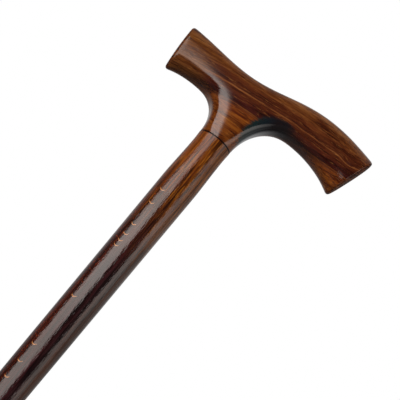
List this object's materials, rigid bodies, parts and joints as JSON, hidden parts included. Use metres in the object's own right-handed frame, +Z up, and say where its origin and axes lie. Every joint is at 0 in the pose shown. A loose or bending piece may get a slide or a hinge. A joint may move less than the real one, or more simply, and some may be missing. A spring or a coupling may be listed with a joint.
{
  "type": "walking stick",
  "caption": "Walking stick with an asymmetric T-shaped hardwood handle, a turned and tapered wooden shaft and a ribbed rubber ferrule.",
  "frame": {"origin": "centre of the ferrule's foot, on the ground", "axes": "+Z up the shaft's axis, +X towards the handle's long arm (the heel), +Y across the handle"},
  "size_m": [0.1284, 0.03, 0.9136],
  "materials": {
    "handle_wood": "gloss lacquer on reddish-brown hardwood",
    "shaft_wood": "gloss lacquer on dark reddish-brown hardwood",
    "steel": "zinc-plated steel",
    "rubber": "matt moulded rubber"
  },
  "bodies": {
    "stick": {"handle": "handle_wood", "joint_stud": "steel", "shaft": "shaft_wood"},
    "ferrule_cup": {"ferrule": "rubber", "ferrule_disc": "steel"}
  },
  "joints": [
    {"name": "ferrule_pull", "type": "slide", "parent": "stick", "child": "ferrule_cup", "axis": [0, 0, -1], "range_m": [0, 0.04]}
  ]
}
